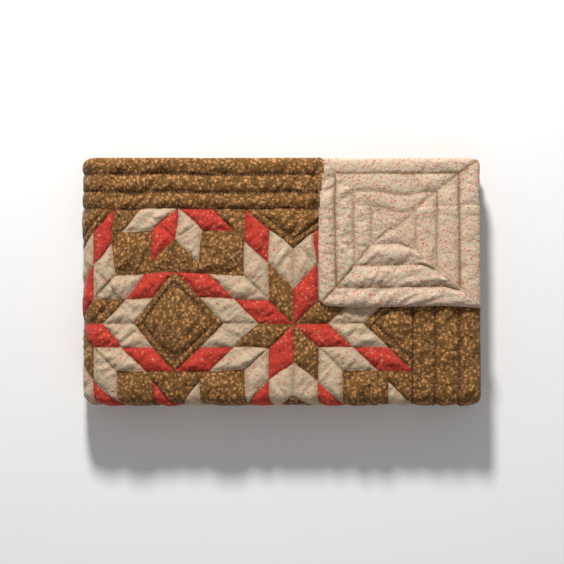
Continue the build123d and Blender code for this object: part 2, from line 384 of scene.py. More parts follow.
def seam_tree(panel):
    """A tree of points along the seams of a panel."""
    patch_layer = panel.faces.layers.int["patch"]
    points = []
    for e in panel.edges:
        if len(e.link_faces) == 2 and e.link_faces[0][patch_layer] != e.link_faces[1][patch_layer]:
            points += [e.verts[0].co.copy(), (e.verts[0].co + e.verts[1].co) / 2]
            points.append(e.verts[1].co.copy())
    tree = kdtree.KDTree(len(points))
    for number, point in enumerate(points):
        tree.insert(point, number)
    tree.balance()
    return tree


# ---------------------------------------------------------------------------------------------
# The quilted relief: one stretch of flat quilt is settled by cloth simulation, held down along its
# seams and lifted between them by its batting. Every leaf takes its puffs and wrinkles from it.

# The batting lifts the cloth about four times harder than its own weight pulls it down, in m/s2
LIFT = 40
# The cloth starts domed to this share of its full puff, since from flat it buckles at random
START_SHARE = 0.8
# A dome reaches its full height this far from its seams
DOME_REACH = 13 * MM
SETTLING_FRAMES = 18
# Cloth this close to a seam is held down by it
HELD = 0.2 * MM
# The stretch runs on past its last row of seams, and past the middle of the quilt, by these margins
SEAM_MARGIN = 12 * MM
MIDDLE_MARGIN = 8 * MM


class Relief:
    """How far the cloth has moved from flat at each point of the quilt."""

    def __init__(self, patchwork):
        self.patchwork = patchwork
        cell = 3.3 * MM
        panel = flat_panel(patchwork.middle_u - MIDDLE_MARGIN, patchwork.right,
                           patchwork.seam_top - patchwork.block_length - SEAM_MARGIN, patchwork.top, cell)
        cut_along_seams(panel, patchwork, cell)
        mark_patches(panel, patchwork)
        tree = seam_tree(panel)
        panel.verts.ensure_lookup_table()
        self.flat = [v.co.copy() for v in panel.verts]
        self.faces = [[v.index for v in f.verts] for f in panel.faces]
        gaps = [tree.find(co)[2] for co in self.flat]
        border = {v.index for v in panel.verts if v.is_boundary}
        held = [i for i, gap in enumerate(gaps) if gap < HELD or i in border]
        puffs = [self.simple_puff(gap) for gap in gaps]
        for vert, puff in zip(panel.verts, puffs):
            vert.co.z = puff * START_SHARE
        self.moved = self.settle(panel, held)
        panel.free()
        self.tree = bvhtree.BVHTree.FromPolygons(self.flat, self.faces)

    def simple_puff(self, gap):
        """The height of a plain dome at a distance from the nearest seam."""
        return sizes().puff * math.sqrt(1 - (1 - min(gap / DOME_REACH, 1)) ** 2)

    def settle(self, panel, held):
        """Let the batting lift the cloth between its seams."""
        mesh = bpy.data.meshes.new("relief")
        panel.to_mesh(mesh)
        cloth = bpy.data.objects.new("relief", mesh)
        bpy.context.scene.collection.objects.link(cloth)
        group = cloth.vertex_groups.new(name="seams")
        group.add(held, 1.0, "REPLACE")
        settings = cloth.modifiers.new("Cloth", "CLOTH").settings
        settings.quality = 5
        settings.mass = 0.004
        settings.tension_stiffness = 20
        settings.compression_stiffness = 20
        settings.shear_stiffness = 8
        settings.bending_stiffness = 0.03
        settings.air_damping = 1.5
        settings.vertex_group_mass = "seams"
        settings.shrink_min = -0.04
        bpy.context.scene.gravity = (0, 0, LIFT)
        for step in range(1, SETTLING_FRAMES + 1):
            bpy.context.scene.frame_set(step)
        settled = cloth.evaluated_get(bpy.context.evaluated_depsgraph_get()).to_mesh()
        moved = [v.co - flat for v, flat in zip(settled.vertices, self.flat)]
        bpy.context.scene.frame_set(1)
        bpy.context.scene.gravity = (0, 0, -9.81)
        bpy.data.objects.remove(cloth)
        bpy.data.meshes.remove(mesh)
        return moved

    def at(self, u, v):
        """The cloth's move at a point, taken from the settled stretch where the same patches lie."""
        own = self.patchwork
        if u < own.middle_u:
            u = 2 * own.middle_u - u
        if v < own.seam_bottom:
            v = own.top - (v - own.bottom)
        while v < own.seam_top - own.block_length:
            v += own.block_length
        place, _, face, _ = self.tree.find_nearest((u, v, 0))
        corners = self.faces[face]
        weights = interpolate.poly_3d_calc([self.flat[i] for i in corners], place)
        total = Vector((0, 0, 0))
        for i, weight in zip(corners, weights):
            total += self.moved[i] * weight
        return total


# ---------------------------------------------------------------------------------------------
# How the flat quilt lies when it is folded


# The tightest bend that the cloth's inner side makes
TIGHTEST = 0.15 * MM
# The outer leaf takes up its spare width in this stretch of the way from the right end to the side fold
GATHER_FROM, GATHER_OVER = 0.77, 0.19
# How round the bundle is at its front right corner, and how far along the front that reaches
FRONT_CORNER = 15 * MM
FRONT_CORNER_REACH = 70 * MM
# How round the side fold is at its back and at its front
SIDE_BACK, SIDE_FRONT = 10 * MM, 19 * MM
# The outer leaf flattens from this far before the front bend, over this way
BEND_LEAD, BEND_FADE = 6 * MM, 24 * MM


def arc_inset(past, radius, limit):
    """How far a rounded end has fallen back, at a way past the start of its arc."""
    past = min(max(past, 0), radius * limit)
    return radius - math.sqrt(radius * radius - past * past)


class Fold:
    """The way of the cloth through one half of the bundle, in the section across its leaves.

    s is the way along the cloth from its sewn end edge, and t the height above the middle of its
    thickness towards the pieced side.
    """

    def __init__(self):
        own = sizes()
        pitch, leaf = own.pitch, own.leaf
        top = BUNDLE_TOP - leaf / 2
        front = -END_EDGE + 1.5 * pitch + leaf / 2
        back = END_EDGE - 0.5 * pitch - leaf / 2
        height = [top - k * pitch for k in range(4)]
        turn = (height[0] + height[3]) / 2
        runs = [
            ("leaf", END_EDGE, front, height[0], 1),
            ("bend", front, turn, -1, 1, 1.5 * pitch, 1),
            ("leaf", front, back, height[3], -1),
            ("bend", back, (height[2] + height[3]) / 2, 1, -1, 0.5 * pitch, 1),
            ("leaf", back, front, height[2], 1),
            ("bend", front, turn, -1, -1, 0.5 * pitch, -1),
            ("leaf", front, END_EDGE, height[1], -1),
        ]
        lengths = [abs(r[1] - r[2]) if r[0] == "leaf" else math.pi * r[5] for r in runs]
        inner = sum(lengths[k] for k in (2, 4, 6))
        slack = (own.length - sum(lengths)) / inner
        for k in (2, 4, 6):
            lengths[k] *= 1 + slack
        self.runs = []
        start = 0.0
        for run, size in zip(runs, lengths):
            self.runs.append((start, size, run))
            start += size
        self.total = start
        self.flatten = (-LEFT_EDGE + SIDE_FOLD) / MIDDLE
        share = self.flatten
        self.quarter = math.pi / 4 * (3 * (1 + share) - math.sqrt((3 + share) * (1 + 3 * share)))
        self.middle_u = RIGHT_EDGE - own.width / 2

    def start_of(self, number):
        """Where a run of the cloth starts, as the way along it."""
        return self.runs[number][0]

    def end_of(self, number):
        """Where a run of the cloth ends, as the way along it."""
        return self.runs[number][0] + self.runs[number][1]

    def bending(self, s):
        """0 on the flat of the outer leaf, and 1 where it is well into the front bend."""
        return smooth((s - self.start_of(1) + BEND_LEAD) / BEND_FADE)

    def section(self, s, t):
        """Where a point of the cloth lies across the leaves, as y and z."""
        for start, size, run in self.runs:
            if s <= start + size:
                break
        share = (s - start) / size
        if run[0] == "leaf":
            _, first, last, height, up = run
            return first + (last - first) * share, height + up * t
        _, centre_y, centre_z, side, first, radius, turn = run
        reach = max(radius + turn * t, TIGHTEST)
        angle = math.pi * share
        return centre_y + side * reach * math.sin(angle), centre_z + first * reach * math.cos(angle)

    def crease(self, s):
        """Where the flat cloth meets the side fold."""
        return self.middle_u + self.quarter * (self.section(s, 0)[1] - MIDDLE)

    def lay_leaf(self, u, s, t):
        """A point of a leaf in the folded upper half."""
        y, z = self.section(s, t)
        span = RIGHT_EDGE - self.crease(s)
        share = (RIGHT_EDGE - u) / span
        start, size, _ = self.runs[1]
        inner = smooth((s - start) / size)
        gather = (1 - inner) * smooth((share - GATHER_FROM) / GATHER_OVER) + inner * share
        x = u + (span - (RIGHT_EDGE - SIDE_FOLD)) * gather
        inset = arc_inset(-y - (END_EDGE - FRONT_CORNER), FRONT_CORNER, 0.98)
        return Vector((x - inset * smooth(1 - share * span / FRONT_CORNER_REACH), y, z))

    def lay_side(self, turn, s, t):
        """A point of the side fold: turn runs from 0 at the upper half to pi at the lower one."""
        y, z = self.section(s, t)
        reach = z - MIDDLE
        rounding = 1.0
        for radius, past in ((SIDE_BACK, y - END_EDGE), (SIDE_FRONT, -y - END_EDGE)):
            rounding -= arc_inset(past + radius, radius, 0.97) / (SIDE_FOLD - LEFT_EDGE)
        x = SIDE_FOLD - self.flatten * reach * math.sin(turn) * rounding
        return Vector((x, y, MIDDLE + reach * math.cos(turn)))


# The ridge of the turned corner, a line on the top leaf
JOINT = next(j for j in frame["record"]["behaviour"]["joints"] if j["name"] == "corner_turnback")
RIDGE_POINT = Vector(JOINT["pos_m"])
RIDGE_ALONG = -Vector(JOINT["axis"]).normalized()
RIDGE_OUT = Vector((-RIDGE_ALONG.y, RIDGE_ALONG.x, 0))
# The cloth is held straight within this distance of the ridge, and no stitches show beside it
RIDGE_HOLD = 22 * MM
RIDGE_BARE = 14 * MM


def past_ridge(u, v):
    """How far a point lies beyond the ridge of the turned corner."""
    return (u - RIDGE_POINT.x) * RIDGE_OUT.x + (v - RIDGE_POINT.y) * RIDGE_OUT.y


# How far the outer end of the ridge creeps towards the sewn end edge, and how far the cloth follows it
RIDGE_CREEP = 9 * MM
CREEP_REACH = 62 * MM


def ridge_pull(u, v):
    """How far the cloth near the outer end of the ridge has crept towards the sewn end edge."""
    foot = RIDGE_POINT + RIDGE_ALONG * ((RIGHT_EDGE - RIDGE_POINT.x) / RIDGE_ALONG.x)
    away = math.hypot(u - foot.x, v - foot.y) / CREEP_REACH
    return RIDGE_CREEP * math.exp(-away * away)


# Half the thickness of the quilt at its sewn edge
SEWN_EDGE = 0.7 * MM


class Loft:
    """The thickness of the quilt on both of its sides."""

    def __init__(self, patchwork, relief):
        self.patchwork, self.relief = patchwork, relief

    def pucker(self, u, v):
        """Small slanting tucks where the stitching has drawn the cloth up, about 10 mm apart."""
        drawn = soft_noise(u, v, 9, 4.1)
        lean = 0.9 + 0.5 * soft_noise(u, v, 5, 7.7)
        across, along = u * math.cos(lean) - v * math.sin(lean), u * math.sin(lean) + v * math.cos(lean)
        tuck = noise.noise(Vector((across * 105, along * 26, 1.3)))
        return sizes().pucker * tuck * (1 + 1.4 * drawn)

    def heights(self, u, v, pieced, free):
        """The cloth's drift along u and v, and its height from the middle of the quilt.

        free is 1 on a side that nothing presses on, and 0 where the next leaf lies against it.
        """
        own = sizes()
        moved = self.relief.at(u, v)
        rise = max(moved.z, 0)
        rise += self.pucker(u, v) * min(rise / own.puff, 1)
        # The backing puffs less behind the blocks than behind the borders
        if not pieced:
            rise *= 1 - 0.45 * smooth((self.patchwork.border_share(u, v)[0] - 0.9) / 0.2)
        height = own.seam_half + rise
        # A pressed side never rises past half the thickness of its leaf
        pressed = own.leaf / 2 * (1 - math.exp(-1.5 * height / own.leaf * 2))
        height = free * height + (1 - free) * pressed
        edge = max(self.patchwork.edge_distance(u, v), 0)
        roll = min(edge / own.edge_roll, 1)
        height = SEWN_EDGE + (height - SEWN_EDGE) * math.sqrt(1 - (1 - roll) ** 2)
        return moved.x, moved.y, height if pieced else -height


def rounded_corner(patchwork, u, v):
    """Pull a point of a square corner onto the rounded corner of the quilt."""
    a, b = patchwork.right - u, patchwork.top - v
    low = v < (patchwork.top + patchwork.bottom) / 2
    if low:
        b = v - patchwork.bottom
    past_a, past_b = CORNER_RADIUS - a, CORNER_RADIUS - b
    away = math.hypot(past_a, past_b)
    if past_a > 0 and past_b > 0 and away > CORNER_RADIUS:
        a = CORNER_RADIUS - past_a * CORNER_RADIUS / away
        b = CORNER_RADIUS - past_b * CORNER_RADIUS / away
    return patchwork.right - a, (patchwork.bottom + b) if low else (patchwork.top - b)


def give_two_sides(panel):
    """Turn a flat panel into a closed pad: its pieced side, its backing, and a rim between them."""
    side_layer = panel.verts.layers.float.new("side")
    cloth_layer = panel.faces.layers.int["cloth"]
    patch_layer = panel.faces.layers.int["patch"]
    low = panel.faces[:]
    for v in panel.verts:
        v[side_layer] = -1
    made = bmesh.ops.extrude_face_region(panel, geom=low)["geom"]
    high = [g for g in made if isinstance(g, bmesh.types.BMFace)]
    for g in made:
        if isinstance(g, bmesh.types.BMVert):
            g[side_layer] = 1
    lid, base = set(high), set(low)
    for f in panel.faces:
        if f not in lid:
            f[cloth_layer] = BACKING if f in base else BROWN
            f[patch_layer] = -1
    return side_layer


def seam_marks(patchwork, panel):
    """How strongly a point is darkened by painted shade, with some soiling, along the seams and the deeper
    quilting lines near it.
    """
    seams = seam_tree(panel)

    def marks(u, v, pieced):
        gap = seams.find((u, v, 0))[2]
        share = patchwork.border_share(u, v)[0]
        if share < 1.03:
            # The border's lines carry painted shade with some soiling, unevenly, and those of the backing
            # less towards the blocks
            shade_and_soil_strength = 0.8 + 0.5 * soft_noise(u, v, 21, 2.2)
            if pieced:
                return min(1.5 * shade_and_soil_strength, 1.15) * math.exp(-gap / (1.7 * MM))
            return shade_and_soil_strength * (1 - 0.32 * smooth((share - 0.4) / 0.3)) * math.exp(-gap / (2.0 * MM))
        # Inside the blocks the painted shade lies along the echo lines, and more faintly along the seams
        echo = math.exp(-patchwork.echo_gap(u, v) / (1.8 * MM))
        return max(0.9 * echo, 0.5 * math.exp(-gap / (2.6 * MM)))

    return marks


def piece_together(panel, patchwork, cell, mirrored=False):
    """Cut a panel into its patches. Returns their keys, and how each point is marked by its seams."""
    cut_along_seams(panel, patchwork, cell)
    return mark_patches(panel, patchwork, mirrored), seam_marks(patchwork, panel)


def finish_pad(name, panel, keys, lay, marks, rolled=None):
    """Lay a two sided panel in its place, with its relief, its print, and its painted shade with some soiling
    by the seams.

    marks says how dark the painted shade and soiling are at a point of the flat panel, and rolled says
    where the brown border cloth rolls over the edge onto the backing.
    """
    side_layer = give_two_sides(panel)
    patch_layer = panel.faces.layers.int["patch"]
    cloth_layer = panel.faces.layers.int["cloth"]
    for f in panel.faces:
        middle = f.calc_center_median()
        if rolled and f[cloth_layer] == BACKING and rolled(middle.x, middle.y):
            f[cloth_layer] = BROWN
    # Per vertex painted shade, with some soiling, near the seams
    seam_shade_and_soil_layer = panel.verts.layers.float.new("seam_shade_and_soil")
    shade_layer = panel.faces.layers.float.new("shade")
    print_layer = panel.loops.layers.uv.new("print")
    dice = [random.Random(repr(key)) for key in keys]
    cuts = [(d.uniform(0, math.tau), d.uniform(0, 1), d.uniform(0, 1), d.uniform(-1, 1)) for d in dice]
    for f in panel.faces:
        number = f[patch_layer]
        angle, shift_u, shift_v, shade = cuts[number] if number >= 0 else (0, 0, 0, 0)
        f[shade_layer] = shade
        f.smooth = True
        cos, sin = math.cos(angle), math.sin(angle)
        for loop in f.loops:
            u, v = loop.vert.co.x, loop.vert.co.y
            loop[print_layer].uv = (u * cos - v * sin + shift_u, u * sin + v * cos + shift_v)
    for vert in panel.verts:
        u, v = vert.co.x, vert.co.y
        pieced = vert[side_layer] > 0
        vert[seam_shade_and_soil_layer] = marks(u, v, pieced)
        vert.co = lay(u, v, pieced)
    bmesh.ops.recalc_face_normals(panel, faces=panel.faces)
    for f in panel.faces:
        f.material_index = f[cloth_layer]
    return link_piece(name, panel, quilt_materials())


def link_piece(name, shape, materials):
    """Turn a bmesh into a named object with its materials."""
    mesh = bpy.data.meshes.new(name)
    for material in materials:
        mesh.materials.append(material)
    shape.to_mesh(mesh)
    shape.free()
    piece = bpy.data.objects.new(name, mesh)
    bpy.context.scene.collection.objects.link(piece)
    return piece


class Workshop:
    """What the operators share: the patchwork, its relief, and the way that it is folded."""

    made = None

    def __init__(self):
        noise.seed_set(STRAY_SEED)
        self.patchwork = Patchwork()
        self.relief = Relief(self.patchwork)
        self.fold = Fold()
        self.loft = Loft(self.patchwork, self.relief)
        self.lays = {}

    @classmethod
    def get(cls):
        if cls.made is None:
            cls.made = cls()
        return cls.made


# Near the crease of the side fold and near its own ends, a piece is held true to meet its neighbours
CREASE_HOLD = 30 * MM
END_HOLD = 20 * MM
# The second leaf's backing is loose this far to the right of the bundle's middle, and eases in over this way
LOOSE_FROM = 183.92 * MM
LOOSE_OVER = 17.31 * MM


def half_panel(name, first, last, cell, lower, ridge_cut=False):
    """One stretch of a half of the bundle, from the start of one run to the end of another."""
    shop = Workshop.get()
    fold, patchwork = shop.fold, shop.patchwork
    start = fold.start_of(first)
    end = fold.end_of(last)
    columns_wide = RIGHT_EDGE - patchwork.middle_u
    panel = flat_panel(patchwork.middle_u, RIGHT_EDGE, END_EDGE - end, END_EDGE - start, cell)
    for vert in panel.verts:
        share = (RIGHT_EDGE - vert.co.x) / columns_wide
        vert.co.x = RIGHT_EDGE - share * (RIGHT_EDGE - fold.crease(END_EDGE - vert.co.y))
    if ridge_cut:
        cut(panel, panel.faces[:], RIDGE_POINT.xy, RIDGE_OUT.xy, cell * 0.3, clear=True)
    keys, marks = piece_together(panel, patchwork, cell, mirrored=lower)

    def lay(u, v, pieced):
        free = 0.0
        if first == 6 and not lower:
            free = 0.6 * smooth((u - LOOSE_FROM) / LOOSE_OVER)
        if first == 0 and not lower:
            free = 1 - 0.8 * fold.bending(END_EDGE - v)
        drift_u, drift_v, height = shop.loft.heights(u, v, pieced, free if pieced == (first == 0) else 0)
        stray_u, stray_v = wander(u, v)
        crease_hold = smooth((u - fold.crease(END_EDGE - v)) / CREASE_HOLD)
        ridge_hold = smooth(-past_ridge(u, v) / RIDGE_HOLD) if ridge_cut else 1
        end_hold = smooth((END_EDGE - v - start) / END_HOLD) if first > 0 else 1
        end_hold *= smooth((end - END_EDGE + v) / END_HOLD) if last < 6 else 1
        hold = ridge_hold * end_hold
        u, v = rounded_corner(patchwork, u, v)
        u += (drift_u + stray_u) * hold * crease_hold
        s = END_EDGE - v - (drift_v + stray_v) * hold
        place = fold.lay_leaf(u, min(max(s, 0.0), fold.total), height)
        if ridge_cut:
            place.y += ridge_pull(u, END_EDGE - s)
        if lower:
            place.z = 2 * MIDDLE - place.z
        return place

    shop.lays[name] = lay
    return finish_pad(name, panel, keys, lay, marks)


# ---------------------------------------------------------------------------------------------
# Materials


def add(tree, kind, settings=None, links=None):
    """Add one node, set its values, and link its inputs from other nodes' outputs."""
    node = tree.nodes.new(kind)
    for name, value in (settings or {}).items():
        if isinstance(name, int) or name in node.inputs:
            node.inputs[name].default_value = value
        else:
            setattr(node, name, value)
    for name, source in (links or {}).items():
        tree.links.new(source, node.inputs[name])
    return node


def opaque(value):
    """A colour with its alpha of 1."""
    return (*value[:3], 1)


def sprigs(tree, where, ground, tint, pitch, radius, share):
    """Print scattered sprigs over a ground: pitch in millimetres, radius and ragged edge in pitches."""
    ragged = 0.12
    cells = add(tree, "ShaderNodeTexVoronoi", {"voronoi_dimensions": "2D", "Scale": 1000 / pitch,
                "Randomness": 1.0}, {"Vector": where})
    rough = add(tree, "ShaderNodeTexNoise", {"noise_dimensions": "2D", "Scale": 2400 / pitch, "Detail": 1.0},
                {"Vector": where})
    ragging = add(tree, "ShaderNodeMath", {"operation": "MULTIPLY_ADD", 1: ragged * 2, 2: -ragged},
                  {0: rough.outputs["Fac"]})
    lot = add(tree, "ShaderNodeSeparateColor", {}, {"Color": cells.outputs["Color"]})
    growth = add(tree, "ShaderNodeMapRange", {"To Min": 1.3, "To Max": 0.72}, {"Value": lot.outputs["Green"]})
    sized = add(tree, "ShaderNodeMath", {"operation": "MULTIPLY"},
                {0: cells.outputs["Distance"], 1: growth.outputs[0]})
    edge = add(tree, "ShaderNodeMath", {"operation": "ADD"}, {0: sized.outputs[0], 1: ragging.outputs[0]})
    soft = 0.13
    inside = add(tree, "ShaderNodeMapRange", {"From Min": radius + soft, "From Max": radius - soft,
                 "interpolation_type": "SMOOTHSTEP"}, {"Value": edge.outputs[0]})
    chosen = add(tree, "ShaderNodeMath", {"operation": "LESS_THAN", 1: share}, {0: lot.outputs["Red"]})
    inked = add(tree, "ShaderNodeMapRange", {"To Min": 0.42, "To Max": 1.0}, {"Value": lot.outputs["Blue"]})
    printed = add(tree, "ShaderNodeMath", {"operation": "MULTIPLY"},
                  {0: inside.outputs[0], 1: chosen.outputs[0]})
    factor = add(tree, "ShaderNodeMath", {"operation": "MULTIPLY"},
                 {0: printed.outputs[0], 1: inked.outputs[0]})
    return add(tree, "ShaderNodeMix", {"data_type": "RGBA", 7: opaque(tint)},
               {0: factor.outputs[0], 6: ground}).outputs[2]


def bare_material(name):
    """A new material with no nodes yet, and its node tree."""
    material = bpy.data.materials.new(name)
    material.use_nodes = True
    material.node_tree.nodes.clear()
    return material, material.node_tree


def calico(name, ground, layers):
    """Plain woven printed cotton: matt, with a soft bloom at its edges and a crinkled, washed hand."""
    material, tree = bare_material(name)
    spot = add(tree, "ShaderNodeUVMap", {"uv_map": "print"})
    where = spot.outputs["UV"]
    fading = add(tree, "ShaderNodeTexNoise", {"noise_dimensions": "2D", "Scale": 38.0, "Detail": 3.0},
                 {"Vector": where})
    fade = add(tree, "ShaderNodeMapRange", {"To Min": 0.86, "To Max": 1.12}, {"Value": fading.outputs["Fac"]})
    shade = add(tree, "ShaderNodeAttribute", {"attribute_name": "shade"})
    cut_lot = add(tree, "ShaderNodeMath", {"operation": "MULTIPLY_ADD", 1: 0.045},
                  {0: shade.outputs["Fac"], 2: fade.outputs[0]})
    # This attribute carries the painted shade, with some soiling, near the seams
    seam_shade_and_soil = add(tree, "ShaderNodeAttribute", {"attribute_name": "seam_shade_and_soil"})
    # Painted shade near the seams, with some soiling, takes away more blue than red, so it reads warm brown
    dip = add(tree, "ShaderNodeVectorMath", {"operation": "MULTIPLY_ADD", 1: (-0.64, -0.74, -0.84),
              2: (1.0, 1.0, 1.0)}, {0: seam_shade_and_soil.outputs["Fac"]})
    tone = add(tree, "ShaderNodeVectorMath", {"operation": "SCALE"},
               {0: dip.outputs[0], "Scale": cut_lot.outputs[0]})
    # The blossoms are drawn by hand, so no two have one outline
    stray = add(tree, "ShaderNodeTexNoise", {"noise_dimensions": "2D", "Scale": 300.0, "Detail": 1.0},
                {"Vector": where})
    pull = add(tree, "ShaderNodeVectorMath", {"operation": "SUBTRACT", 1: (0.5, 0.5, 0.5)},
               {0: stray.outputs["Color"]})
    drawn = add(tree, "ShaderNodeVectorMath", {"operation": "MULTIPLY_ADD", 1: (0.006, 0.006, 0.0)},
                {0: pull.outputs[0], 2: where}).outputs[0]
    dyed = add(tree, "ShaderNodeRGB")
    dyed.outputs[0].default_value = opaque(ground)
    printed = dyed.outputs[0]
    for tint, pitch, radius, share in layers:
        printed = sprigs(tree, drawn, printed, tint, pitch, radius, share)
    colour_out = add(tree, "ShaderNodeVectorMath", {"operation": "MULTIPLY"},
                     {0: printed, 1: tone.outputs[0]})
    # Real threads lie 0.4 mm apart. They are drawn about 2.2 mm apart so that the weave shows.
    warp, weft = [
        add(tree, "ShaderNodeTexWave", {"bands_direction": way, "Scale": 144.76, "Distortion": 0.6},
            {"Vector": where}) for way in ("X", "Y")
    ]
    weave = add(tree, "ShaderNodeMath", {"operation": "ADD"},
                {0: warp.outputs["Fac"], 1: weft.outputs["Fac"]})
    crinkle = add(tree, "ShaderNodeTexNoise", {"noise_dimensions": "2D", "Scale": 170.0, "Detail": 3.0,
                  "Roughness": 0.6}, {"Vector": where})
    crinkled = add(tree, "ShaderNodeBump", {"Strength": 0.8, "Distance": 2.0 * MM},
                   {"Height": crinkle.outputs["Fac"]})
    woven = add(tree, "ShaderNodeBump", {"Strength": 0.25, "Distance": 0.15 * MM},
                {"Height": weave.outputs[0], "Normal": crinkled.outputs[0]})
    cotton = add(tree, "ShaderNodeBsdfPrincipled", {"Roughness": 0.88, "Sheen Weight": 0.12,
                 "Sheen Roughness": 0.5, "Specular IOR Level": 0.25},
                 {"Base Color": colour_out.outputs[0], "Normal": woven.outputs[0]})
    add(tree, "ShaderNodeOutputMaterial", {}, {"Surface": cotton.outputs[0]})
    return material


def quilt_materials():
    """The four cloths, in the order of BROWN, RED, CREAM and BACKING."""
    own = colours()
    recipes = {
        # Brown calico: a warm ground thick with tan blossoms, so the eye reads a lively mid brown
        "brown_sprigged_calico": (own.brown, [(own.brown_dark, 5.2, 0.32, 0.6),
                                              (own.brown_sprig, 5.9, 0.29, 0.85)]),
        # Red calico: turkey red with few, small, paler specks, so the eye reads an even red
        "turkey_red_calico": (own.red, [(own.red_dark, 5.0, 0.24, 0.45), (own.red_sprig, 5.6, 0.2, 0.5)]),
        # Cream calico: an off white ground with tiny red buds, so the eye reads a warm, pale tan
        "cream_rosebud_calico": (own.cream, [(own.cream_leaf, 4.6, 0.26, 0.5),
                                             (own.cream_sprig, 5.4, 0.21, 0.72)]),
        # Backing: cream cotton with its buds set closer together, so the eye reads a faintly pink cream
        "rosebud_backing_muslin": (own.backing, [(own.cream_leaf, 4.4, 0.24, 0.45),
                                               (own.cream_sprig, 4.6, 0.25, 0.8)]),
    }
    made = []
    for name, (ground, layers) in recipes.items():
        made.append(bpy.data.materials.get(name) or calico(name, ground, layers))
    return made


def waxed_cotton_thread():
    """Quilting thread: waxed cotton, so the eye reads small satin beads of tan."""
    found = bpy.data.materials.get("waxed_cotton_thread")
    if found:
        return found
    material, tree = bare_material("waxed_cotton_thread")
    place = add(tree, "ShaderNodeTexCoord")
    # The plies of the thread are under 0.2 mm wide, and are drawn at 0.5 mm
    plies = add(tree, "ShaderNodeTexNoise", {"Scale": 2000.0}, {"Vector": place.outputs["Object"]})
    dye = add(tree, "ShaderNodeMix", {"data_type": "RGBA", 6: opaque(colours().thread),
              7: opaque(linear("#8A6A3E"))}, {0: plies.outputs["Fac"]})
    fibre = add(tree, "ShaderNodeBsdfPrincipled", {"Roughness": 0.6, "Specular IOR Level": 0.4},
                {"Base Color": dye.outputs[2]})
    add(tree, "ShaderNodeOutputMaterial", {}, {"Surface": fibre.outputs[0]})
    return material


# ---------------------------------------------------------------------------------------------
# Operators


class QUILT_OT_upper_half(bpy.types.Operator):
    """Make the top four leaves of the bundle, with the bends between them"""

    bl_idname = "quilt.upper_half"
    bl_label = "Upper Half"

    def execute(self, context):
        own = sizes()
        top = half_panel("top_leaf", 0, 1, own.fine_cell, lower=False, ridge_cut=True)
        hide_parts("corner_squares", "cream_diamonds_left", "cream_diamonds_right", "end_border",
                    "outer_diamonds_red", "setting_squares", "side_border", "small_star_cream",
                    "small_star_red", "star_points_brown", "star_points_red")
        inner = half_panel("upper_inner_leaves", 2, 5, own.coarse_cell, lower=False)
        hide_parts("upper_batting", "upper_inner_pieced_top")
        second = half_panel("second_leaf", 6, 6, own.fine_cell * 1.2, lower=False)
        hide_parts("upper_backing")
        for piece in (top, inner, second):
            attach(piece, "upper_half")
        return {"FINISHED"}


class QUILT_OT_lower_half(bpy.types.Operator):
    """Make the bottom four leaves of the bundle, with the bends between them"""

    bl_idname = "quilt.lower_half"
    bl_label = "Lower Half"

    def execute(self, context):
        own = sizes()
        bottom = half_panel("bottom_leaf", 0, 1, own.fine_cell * 1.2, lower=True)
        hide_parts("lower_pieced_top")
        inner = half_panel("lower_inner_leaves", 2, 5, own.coarse_cell, lower=True)
        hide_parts("lower_batting")
        seventh = half_panel("seventh_leaf", 6, 6, own.coarse_cell, lower=True)
        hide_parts("lower_backing")
        for piece in (bottom, inner, seventh):
            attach(piece, "lower_half")
        return {"FINISHED"}


class QUILT_OT_side_fold(bpy.types.Operator):
    """Make the side fold, which wraps every leaf of the upper half round to the lower half"""

    bl_idname = "quilt.side_fold"
    bl_label = "Side Fold"

    def execute(self, context):
        shop = Workshop.get()
        fold, patchwork = shop.fold, shop.patchwork
        cell = sizes().fine_cell * 1.3
        deepest = fold.crease(0) - patchwork.middle_u
        panel = flat_panel(patchwork.middle_u - deepest, patchwork.middle_u + deepest,
                           END_EDGE - fold.total, END_EDGE, cell)
        for vert in panel.verts:
            wide = fold.crease(END_EDGE - vert.co.y) - patchwork.middle_u
            vert.co.x = patchwork.middle_u + (vert.co.x - patchwork.middle_u) * wide / deepest
        keys, marks = piece_together(panel, patchwork, cell)

        def lay(u, v, pieced):
            wide = fold.crease(END_EDGE - v) - patchwork.middle_u
            turn = math.pi / 2 * (1 - (u - patchwork.middle_u) / max(wide, MM))
            # The front bend and the lower part of the side fold are pressed
            outer = 1 - fold.bending(END_EDGE - v)
            outer *= 1 - smooth((turn - 1.9) / 0.9)
            _, drift_v, height = shop.loft.heights(u, v, pieced, outer if pieced else 0)
            _, stray_v = wander(max(u, 2 * patchwork.middle_u - u), v)
            s = min(max(END_EDGE - v - drift_v - stray_v, 0.0), fold.total)
            return fold.lay_side(min(max(turn, 0), math.pi), s, height)

        piece = finish_pad("side_fold", panel, keys, lay, marks)
        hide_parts("side_fold_pieced_top", "side_fold_batting", "side_fold_backing")
        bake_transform(piece)
        return {"FINISHED"}


